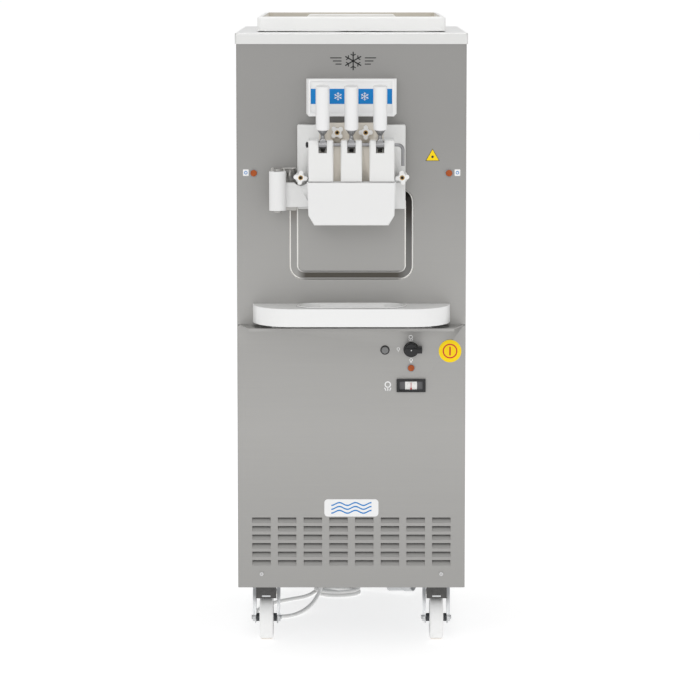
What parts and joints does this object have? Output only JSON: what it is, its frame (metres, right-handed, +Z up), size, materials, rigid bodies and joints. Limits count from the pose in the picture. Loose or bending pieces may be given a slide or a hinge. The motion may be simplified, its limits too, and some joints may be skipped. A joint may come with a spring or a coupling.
{
  "type": "floor-standing soft serve machine",
  "caption": "Tall stainless cabinet on casters with a draw head, pull levers, swing spout guard, drip shelf, lidded mix hoppers and simple controls.",
  "frame": {"origin": "on the floor under the middle of the machine's outer box", "axes": "+Z up, front faces -Y, +X to the machine's right as the user sees it"},
  "size_m": [0.526, 0.8779, 1.441],
  "materials": {
    "galvanised": "dull galvanised steel",
    "stainless": "horizontal brushed stainless sheet",
    "stainless_cover": "bright satin stainless",
    "stainless_tank": "polished stainless",
    "lid_white": "satin white plastic",
    "moulded_white": "smooth white plastic",
    "motor_grey": "grey enamel",
    "pin_steel": "ground stainless rod",
    "bracket_steel": "satin steel",
    "shelf_white": "glossy white plastic",
    "amber_lens": "translucent amber plastic",
    "control_black": "black moulded plastic",
    "button_grey": "grey plastic",
    "needle_red": "red lacquer",
    "box_grey": "grey powder coat",
    "screw_steel": "bright steel",
    "compressor_black": "black enamel",
    "fin_aluminium": "bare aluminium fins",
    "fan_plastic": "dark plastic",
    "zinc": "bright zinc plating",
    "cord_black": "black rubber",
    "cord_jacket": "light grey flexible jacket",
    "plug_blue": "blue moulded plastic",
    "grip_white": "glossy white plastic",
    "nylon_wheel": "white nylon",
    "pedal_dark": "dark ribbed steel"
  },
  "bodies": {
    "cabinet": {"chassis_frame": "galvanised", "front_panel_upper": "stainless", "front_panel_lower": "stainless", "side_panel_left": "stainless", "side_panel_right": "stainless", "rear_panel": "stainless", "top_cover": "stainless_cover", "mix_hoppers": "stainless_tank", "feed_tubes": "stainless_tank", "header_box": "moulded_white", "freezing_cylinders": "stainless_tank", "gearmotors": "motor_grey", "head_body": "moulded_white", "spout_nozzles": "moulded_white", "guard_bracket": "bracket_steel", "indicator_lenses": "amber_lens", "meter_housing": "control_black", "control_box": "box_grey", "panel_screws": "screw_steel", "compressor": "compressor_black", "condenser_and_lines": "fin_aluminium", "fan_motor": "motor_grey", "caster_swivel_plates": "zinc", "rear_caster_forks": "zinc", "cord_gland": "cord_black", "mains_cord": "cord_jacket", "cord_coil": "cord_jacket", "mains_plug": "plug_blue"},
    "lever_left": {"lever_arm_left": "pin_steel", "lever_grip_left": "grip_white"},
    "draw_piston_left": {"piston_left": "moulded_white"},
    "lever_centre": {"lever_arm_centre": "pin_steel", "lever_grip_centre": "grip_white"},
    "draw_piston_centre": {"piston_centre": "moulded_white"},
    "lever_right": {"lever_arm_right": "pin_steel", "lever_grip_right": "grip_white"},
    "draw_piston_right": {"piston_right": "moulded_white"},
    "pivot_rod": {"pivot_pin": "pin_steel"},
    "knob_upper_left": {"star_knob_upper_left": "grip_white"},
    "knob_upper_right": {"star_knob_upper_right": "grip_white"},
    "knob_lower_left": {"star_knob_lower_left": "grip_white"},
    "knob_lower_right": {"star_knob_lower_right": "grip_white"},
    "selector": {"selector_knob": "control_black"},
    "button": {"reset_button": "button_grey"},
    "needle": {"meter_needle": "needle_red"},
    "lid": {"hopper_lid": "lid_white"},
    "shelf": {"drip_shelf": "shelf_white"},
    "bowl": {"drip_bowl": "shelf_white"},
    "guard": {"spout_guard": "moulded_white"},
    "fork_left": {"front_caster_fork_left": "zinc"},
    "front_wheel_left": {"front_caster_wheel_left": "nylon_wheel"},
    "rear_wheel_left": {"rear_caster_wheel_left": "nylon_wheel"},
    "pedal_left": {"brake_pedal_left": "pedal_dark"},
    "dasher_left": {"beater_left": "stainless_tank"},
    "fork_right": {"front_caster_fork_right": "zinc"},
    "front_wheel_right": {"front_caster_wheel_right": "nylon_wheel"},
    "rear_wheel_right": {"rear_caster_wheel_right": "nylon_wheel"},
    "pedal_right": {"brake_pedal_right": "pedal_dark"},
    "dasher_right": {"beater_right": "stainless_tank"},
    "fan": {"fan_blade": "fan_plastic"}
  },
  "joints": [
    {"name": "lever_left_pull", "type": "hinge", "parent": "cabinet", "child": "lever_left", "pos_m": [-0.064, -0.40294, 1.159], "axis": [1, 0, 0], "range_deg": [0, 70]},
    {"name": "piston_left_rise", "type": "slide", "parent": "cabinet", "child": "draw_piston_left", "axis": [0, 0, 1], "range_m": [0, 0.0241]},
    {"name": "lever_centre_pull", "type": "hinge", "parent": "cabinet", "child": "lever_centre", "pos_m": [0, -0.40294, 1.159], "axis": [1, 0, 0], "range_deg": [0, 70]},
    {"name": "piston_centre_rise", "type": "slide", "parent": "cabinet", "child": "draw_piston_centre", "axis": [0, 0, 1], "range_m": [0, 0.0241]},
    {"name": "lever_right_pull", "type": "hinge", "parent": "cabinet", "child": "lever_right", "pos_m": [0.064, -0.40294, 1.159], "axis": [1, 0, 0], "range_deg": [0, 70]},
    {"name": "piston_right_rise", "type": "slide", "parent": "cabinet", "child": "draw_piston_right", "axis": [0, 0, 1], "range_m": [0, 0.0241]},
    {"name": "pivot_rod_turn", "type": "hinge", "parent": "cabinet", "child": "pivot_rod", "pos_m": [0, -0.40294, 1.159], "axis": [1, 0, 0], "range_deg": [-120, 90]},
    {"name": "knob_upper_left_turn", "type": "hinge", "parent": "cabinet", "child": "knob_upper_left", "pos_m": [-0.032, -0.34794, 1.1835], "axis": [0, -1, 0], "range_deg": [0, 720]},
    {"name": "knob_upper_right_turn", "type": "hinge", "parent": "cabinet", "child": "knob_upper_right", "pos_m": [0.032, -0.34794, 1.1835], "axis": [0, -1, 0], "range_deg": [0, 720]},
    {"name": "knob_lower_left_turn", "type": "hinge", "parent": "cabinet", "child": "knob_lower_left", "pos_m": [-0.114, -0.34794, 1.083], "axis": [0, -1, 0], "range_deg": [0, 720]},
    {"name": "knob_lower_right_turn", "type": "hinge", "parent": "cabinet", "child": "knob_lower_right", "pos_m": [0.114, -0.34794, 1.083], "axis": [0, -1, 0], "range_deg": [0, 720]},
    {"name": "selector_turn", "type": "hinge", "parent": "cabinet", "child": "selector", "pos_m": [0.136, -0.30594, 0.687], "axis": [0, 1, 0], "range_deg": [-180, 90]},
    {"name": "button_press", "type": "slide", "parent": "cabinet", "child": "button", "axis": [0, 1, 0], "range_m": [0, 0.003], "stiffness_N_per_m": 300},
    {"name": "needle_swing", "type": "hinge", "parent": "cabinet", "child": "needle", "pos_m": [0.136, -0.30174, 0.59775], "axis": [0, 1, 0], "range_deg": [-35, 35], "stiffness_Nm_per_rad": 0.002},
    {"name": "lid_lift", "type": "slide", "parent": "cabinet", "child": "lid", "axis": [0, 0, 1], "range_m": [0, 0.25]},
    {"name": "shelf_draw", "type": "slide", "parent": "cabinet", "child": "shelf", "axis": [0, -1, 0], "range_m": [0, 0.1]},
    {"name": "bowl_lift", "type": "slide", "parent": "shelf", "child": "bowl", "axis": [0, 0, 1], "range_m": [0, 0.12]},
    {"name": "guard_swing", "type": "hinge", "parent": "cabinet", "child": "guard", "pos_m": [-0.166, -0.35794, 1.05], "axis": [0, 0, -1], "range_deg": [0, 110]},
    {"name": "fork_left_swivel", "type": "hinge", "parent": "cabinet", "child": "fork_left", "pos_m": [-0.197, -0.17294, 0.122], "axis": [0, 0, 1], "continuous": true},
    {"name": "front_wheel_left_roll", "type": "hinge", "parent": "fork_left", "child": "front_wheel_left", "pos_m": [-0.197, -0.20794, 0.05], "axis": [1, 0, 0], "continuous": true},
    {"name": "pedal_left_press", "type": "hinge", "parent": "fork_left", "child": "pedal_left", "pos_m": [-0.197, -0.20194, 0.113], "axis": [1, 0, 0], "range_deg": [0, 14]},
    {"name": "rear_wheel_left_roll", "type": "hinge", "parent": "cabinet", "child": "rear_wheel_left", "pos_m": [-0.197, 0.34606, 0.05], "axis": [1, 0, 0], "continuous": true},
    {"name": "dasher_left_spin", "type": "hinge", "parent": "cabinet", "child": "dasher_left", "pos_m": [-0.06, -0.19794, 1.118], "axis": [0, 1, 0], "continuous": true},
    {"name": "fork_right_swivel", "type": "hinge", "parent": "cabinet", "child": "fork_right", "pos_m": [0.197, -0.17294, 0.122], "axis": [0, 0, 1], "continuous": true},
    {"name": "front_wheel_right_roll", "type": "hinge", "parent": "fork_right", "child": "front_wheel_right", "pos_m": [0.197, -0.20794, 0.05], "axis": [1, 0, 0], "continuous": true},
    {"name": "pedal_right_press", "type": "hinge", "parent": "fork_right", "child": "pedal_right", "pos_m": [0.197, -0.20194, 0.113], "axis": [1, 0, 0], "range_deg": [0, 14]},
    {"name": "rear_wheel_right_roll", "type": "hinge", "parent": "cabinet", "child": "rear_wheel_right", "pos_m": [0.197, 0.34606, 0.05], "axis": [1, 0, 0], "continuous": true},
    {"name": "dasher_right_spin", "type": "hinge", "parent": "cabinet", "child": "dasher_right", "pos_m": [0.06, -0.19794, 1.118], "axis": [0, 1, 0], "continuous": true},
    {"name": "fan_spin", "type": "hinge", "parent": "cabinet", "child": "fan", "pos_m": [0.082, -0.17394, 0.252], "axis": [0, 1, 0], "continuous": true}
  ],
  "couplings": [
    {"joint": "piston_left_rise", "follows": "lever_left_pull", "m_per_rad": 0.0197},
    {"joint": "piston_centre_rise", "follows": "lever_centre_pull", "m_per_rad": 0.0197},
    {"joint": "piston_right_rise", "follows": "lever_right_pull", "m_per_rad": 0.0197}
  ]
}
